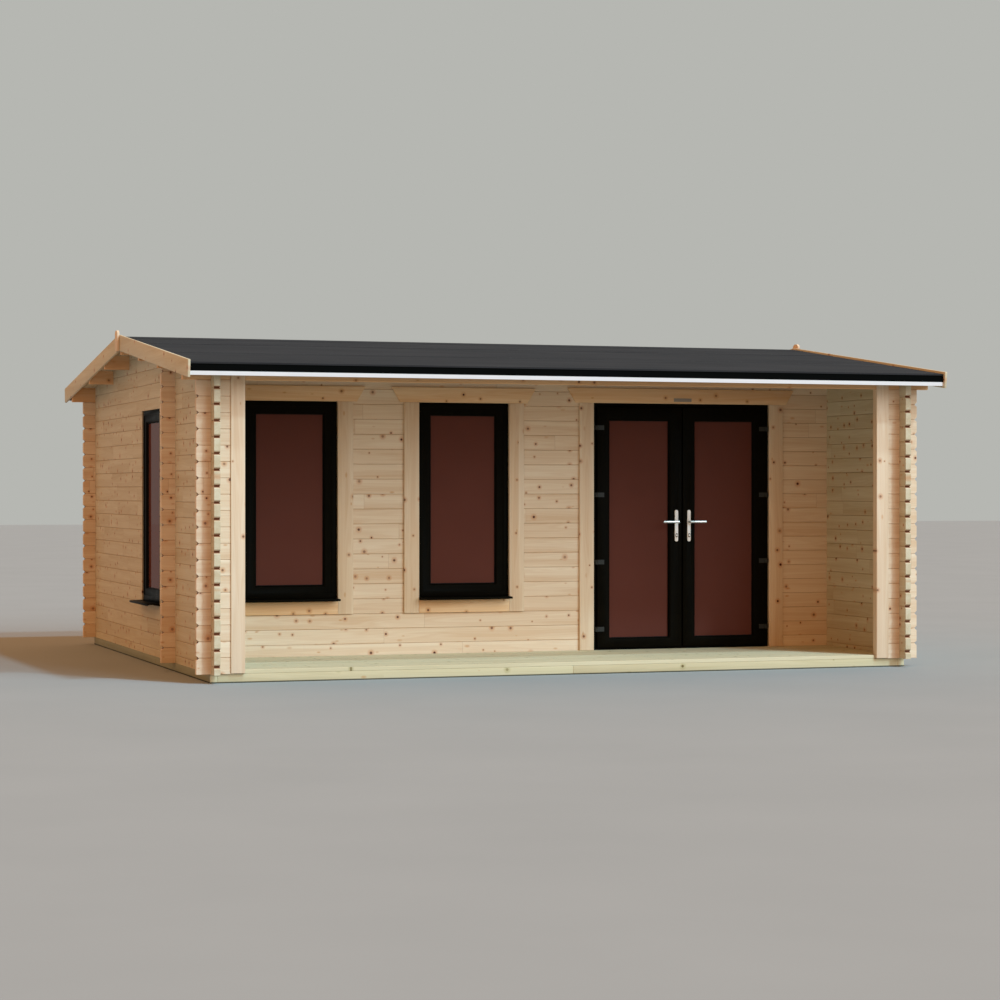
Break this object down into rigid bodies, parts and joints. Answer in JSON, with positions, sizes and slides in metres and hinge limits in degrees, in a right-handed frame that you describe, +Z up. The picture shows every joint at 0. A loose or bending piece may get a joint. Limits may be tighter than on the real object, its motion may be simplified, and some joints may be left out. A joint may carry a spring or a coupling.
{
  "type": "log cabin",
  "caption": "Garden log cabin of interlocking spruce logs with a recessed porch on square posts, black glazed windows and outward-opening French doors under a felted apex roof.",
  "frame": {"origin": "on the ground at the middle of the roof's outline, the bottom centre of the bounding box", "axes": "+X along the ridge towards the door end, -Y towards the porch front, +Z up"},
  "size_m": [5.8666, 5.332, 2.5974],
  "materials": {
    "spruce_logs": "satin",
    "spruce_boards": "satin",
    "treated_timber": "matte",
    "roofing_felt": "matte",
    "black_fascia": "matte",
    "white_strip": "satin",
    "black_upvc": "satin",
    "tinted_glass": "gloss",
    "chrome_handle": "polished",
    "dark_hinge": "satin",
    "grey_plate": "satin"
  },
  "bodies": {
    "cabin": {"left_wall": "spruce_logs", "right_wall": "spruce_logs", "back_wall": "spruce_logs", "front_wall_window_side": "spruce_logs", "front_wall_door_side": "spruce_logs", "front_wall_over_door": "spruce_logs", "porch_stub_walls": "spruce_logs", "eave_logs": "spruce_logs", "ridge_purlin": "spruce_logs", "side_purlins": "spruce_logs", "front_roof_boards": "spruce_boards", "back_roof_boards": "spruce_boards", "left_bargeboards": "spruce_boards", "right_bargeboards": "spruce_boards", "apex_covers": "spruce_boards", "eave_fascias": "black_fascia", "eave_strips": "white_strip", "roof_felt": "roofing_felt", "porch_posts": "spruce_boards", "porch_floor": "treated_timber", "room_floor": "spruce_boards", "floor_bearers": "treated_timber", "left_window_frame": "black_upvc", "right_window_frame": "black_upvc", "side_window_frame": "black_upvc", "left_window_pane": "tinted_glass", "right_window_pane": "tinted_glass", "side_window_pane": "tinted_glass", "window_sills": "black_upvc", "left_window_trims": "spruce_boards", "right_window_trims": "spruce_boards", "door_trims": "spruce_boards", "header_plate": "grey_plate", "door_frame": "black_upvc", "frame_hinges": "dark_hinge"},
    "left_leaf": {"left_leaf_sash": "black_upvc", "left_leaf_pane": "tinted_glass", "left_leaf_hinges": "dark_hinge", "left_leaf_plates": "chrome_handle"},
    "left_lever": {"left_leaf_lever": "chrome_handle"},
    "right_leaf": {"right_leaf_sash": "black_upvc", "right_leaf_pane": "tinted_glass", "right_leaf_hinges": "dark_hinge", "right_leaf_plates": "chrome_handle"},
    "right_lever": {"right_leaf_lever": "chrome_handle"}
  },
  "joints": [
    {"name": "left_leaf_hinge", "type": "hinge", "parent": "cabin", "child": "left_leaf", "pos_m": [0.6545, -1.166, 1.054], "axis": [0, 0, -1], "range_deg": [0, 110]},
    {"name": "right_leaf_hinge", "type": "hinge", "parent": "cabin", "child": "right_leaf", "pos_m": [2.1025, -1.166, 1.054], "axis": [0, 0, 1], "range_deg": [0, 110]},
    {"name": "left_lever_spindle", "type": "hinge", "parent": "left_leaf", "child": "left_lever", "pos_m": [1.3245, -1.126, 1.096], "axis": [0, -1, 0], "range_deg": [0, 40], "stiffness_Nm_per_rad": 2, "springref_deg": -28.65},
    {"name": "right_lever_spindle", "type": "hinge", "parent": "right_leaf", "child": "right_lever", "pos_m": [1.4325, -1.126, 1.096], "axis": [0, 1, 0], "range_deg": [0, 40], "stiffness_Nm_per_rad": 2, "springref_deg": -28.65}
  ]
}
